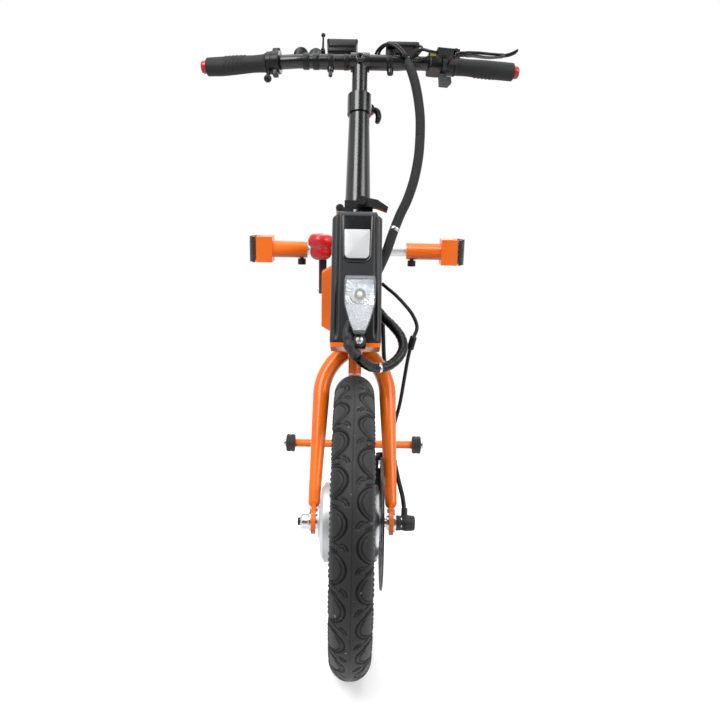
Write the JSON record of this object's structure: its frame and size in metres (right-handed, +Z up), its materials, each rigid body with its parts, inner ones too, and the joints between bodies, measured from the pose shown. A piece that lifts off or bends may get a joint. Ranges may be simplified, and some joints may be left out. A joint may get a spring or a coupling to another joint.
{
  "type": "wheelchair power assist",
  "caption": "Clip-on front drive unit for a wheelchair: steered hub-motor wheel, battery box, folding column with handlebar, and a docking frame with tube clamps.",
  "frame": {"origin": "On the floor under the middle of the unit's box.", "axes": "+X to the right as seen from the front, -Y the front where the wheel is, +Z up."},
  "size_m": [0.5152, 0.865, 0.8888],
  "materials": {
    "orange_paint": "gloss",
    "black_paint": "gloss",
    "silver": "satin",
    "steel": "brushed",
    "dark_steel": "satin",
    "tread": "matte",
    "black_rubber": "matte",
    "black_plastic": "matte",
    "gloss_black": "gloss",
    "red_plastic": "gloss",
    "clear_lens": "clear",
    "lamp_chip": "gloss",
    "windings": "satin",
    "cell_wrap": "gloss",
    "woven_sleeve": "matte"
  },
  "bodies": {
    "frame": {"main_frame": "orange_paint", "headset_bearings": "black_paint", "dock_saddle": "black_paint", "cross_tube": "silver", "stand": "orange_paint"},
    "steering": {"fork": "orange_paint", "axle": "steel", "stator": "windings", "cable_boot": "black_rubber", "caliper": "black_paint", "brake_pads": "dark_steel", "battery_case": "black_plastic", "battery_lid": "black_plastic", "battery_cells": "cell_wrap", "lamp_bracket": "steel", "stem_base": "black_paint", "cables": "black_rubber"},
    "wheel": {"tyre": "tread", "inner_tube": "black_rubber", "rim": "black_paint", "spokes": "steel", "hub_shell": "silver", "hub_cover": "silver", "magnet_ring": "dark_steel", "brake_disc": "dark_steel", "hub_bearings": "steel"},
    "lamp": {"lamp_shell": "gloss_black", "lamp_lens": "clear_lens", "lamp_led": "lamp_chip"},
    "post": {"lower_post": "black_paint", "clamp_collar": "black_paint", "loom_lower": "woven_sleeve"},
    "bar": {"inner_post": "black_paint", "handlebar": "black_paint", "grips": "black_rubber", "throttle_body": "black_plastic", "round_switch": "black_plastic", "bell": "black_plastic", "display": "black_plastic", "meter_box": "black_plastic", "switch_pod": "black_plastic", "brake_perch": "black_paint", "loom_upper": "woven_sleeve"},
    "caliper_arm": {"caliper_arm": "steel"},
    "fold_lever": {"fold_lever": "black_paint"},
    "height_lever": {"height_lever": "black_paint"},
    "throttle_lever": {"throttle_lever": "black_plastic"},
    "bell_striker": {"bell_striker": "steel"},
    "pod_button": {"pod_button": "red_plastic"},
    "thumb_paddle": {"thumb_paddle": "black_plastic"},
    "brake_lever": {"brake_lever": "black_paint"},
    "dock_lever": {"dock_lever": "red_plastic"},
    "left_arm": {"left_arm": "orange_paint", "left_strap": "black_paint"},
    "right_arm": {"right_arm": "orange_paint", "right_strap": "black_paint"},
    "left_knob": {"left_knob": "black_plastic"},
    "right_knob": {"right_knob": "black_plastic"},
    "left_roller": {"left_roller": "black_rubber"},
    "right_roller": {"right_roller": "black_rubber"}
  },
  "joints": [
    {"name": "steer", "type": "hinge", "parent": "frame", "child": "steering", "pos_m": [0, -0.19296, 0.18673], "axis": [0, 0.4067, 0.9135], "range_deg": [-35, 35]},
    {"name": "wheel_spin", "type": "hinge", "parent": "steering", "child": "wheel", "pos_m": [0, -0.2295, 0.203], "axis": [1, 0, 0], "continuous": true},
    {"name": "lamp_tilt", "type": "hinge", "parent": "steering", "child": "lamp", "pos_m": [0.005, -0.17941, 0.46916], "axis": [1, 0, 0], "range_deg": [-5, 15]},
    {"name": "caliper_pull", "type": "hinge", "parent": "steering", "child": "caliper_arm", "pos_m": [0.05, -0.16284, 0.23051], "axis": [1, 0, 0], "range_deg": [0, 20]},
    {"name": "column_fold", "type": "hinge", "parent": "steering", "child": "post", "pos_m": [-0.027, -0.00382, 0.61155], "axis": [0, -0.9135, 0.4067], "range_deg": [0, 90], "deforming": ["loom_lower"]},
    {"name": "fold_latch", "type": "hinge", "parent": "post", "child": "fold_lever", "pos_m": [0.006, -0.02298, 0.62752], "axis": [0, -0.9135, 0.4067], "range_deg": [0, 100]},
    {"name": "bar_height", "type": "slide", "parent": "post", "child": "bar", "axis": [0, 0.4067, 0.9135], "range_m": [-0.04, 0.06], "deforming": ["loom_upper"]},
    {"name": "height_cam", "type": "hinge", "parent": "post", "child": "height_lever", "pos_m": [0.017, 0.09311, 0.77024], "axis": [0, -0.9135, 0.4067], "range_deg": [0, 120]},
    {"name": "brake_pull", "type": "hinge", "parent": "bar", "child": "brake_lever", "pos_m": [0.14859, 0.06714, 0.85254], "axis": [0.0145, 0.3099, 0.9506], "range_deg": [0, 13], "stiffness_Nm_per_rad": 1, "springref_deg": -8.59},
    {"name": "throttle_turn", "type": "hinge", "parent": "bar", "child": "throttle_lever", "pos_m": [-0.14503, 0.10508, 0.84022], "axis": [-0.9903, 0.1271, -0.0566], "range_deg": [0, 50], "stiffness_Nm_per_rad": 0.15, "springref_deg": -11.46},
    {"name": "paddle_turn", "type": "hinge", "parent": "bar", "child": "thumb_paddle", "pos_m": [0.13315, 0.10355, 0.8409], "axis": [-0.9903, -0.1271, 0.0566], "range_deg": [0, 30], "stiffness_Nm_per_rad": 0.15, "springref_deg": -11.46},
    {"name": "striker_flick", "type": "hinge", "parent": "bar", "child": "bell_striker", "pos_m": [-0.06, 0.10598, 0.86062], "axis": [0, -0.9135, 0.4067], "range_deg": [0, 25], "stiffness_Nm_per_rad": 0.05, "springref_deg": -11.46},
    {"name": "button_press", "type": "slide", "parent": "bar", "child": "pod_button", "axis": [0.1392, -0.9047, 0.4028], "range_m": [0, 0.0015], "stiffness_N_per_m": 300, "springref_m": -0.001},
    {"name": "dock_release", "type": "hinge", "parent": "frame", "child": "dock_lever", "pos_m": [-0.07, 0.3705, 0.434], "axis": [1, 0, 0], "range_deg": [0, 50]},
    {"name": "left_arm_slide", "type": "slide", "parent": "frame", "child": "left_arm", "axis": [-1, 0, 0], "range_m": [-0.015, 0.035]},
    {"name": "right_arm_slide", "type": "slide", "parent": "frame", "child": "right_arm", "axis": [1, 0, 0], "range_m": [-0.015, 0.035]},
    {"name": "left_knob_turn", "type": "hinge", "parent": "left_arm", "child": "left_knob", "pos_m": [-0.116, 0.4105, 0.488], "axis": [0, 0, 1], "continuous": true},
    {"name": "right_knob_turn", "type": "hinge", "parent": "right_arm", "child": "right_knob", "pos_m": [0.116, 0.4105, 0.488], "axis": [0, 0, 1], "continuous": true},
    {"name": "left_roller_spin", "type": "hinge", "parent": "frame", "child": "left_roller", "pos_m": [-0.128, 0.2705, 0.132], "axis": [1, 0, 0], "continuous": true},
    {"name": "right_roller_spin", "type": "hinge", "parent": "frame", "child": "right_roller", "pos_m": [0.128, 0.2705, 0.132], "axis": [1, 0, 0], "continuous": true}
  ],
  "couplings": [
    {"joint": "caliper_pull", "follows": "brake_pull", "ratio": 1.5}
  ]
}
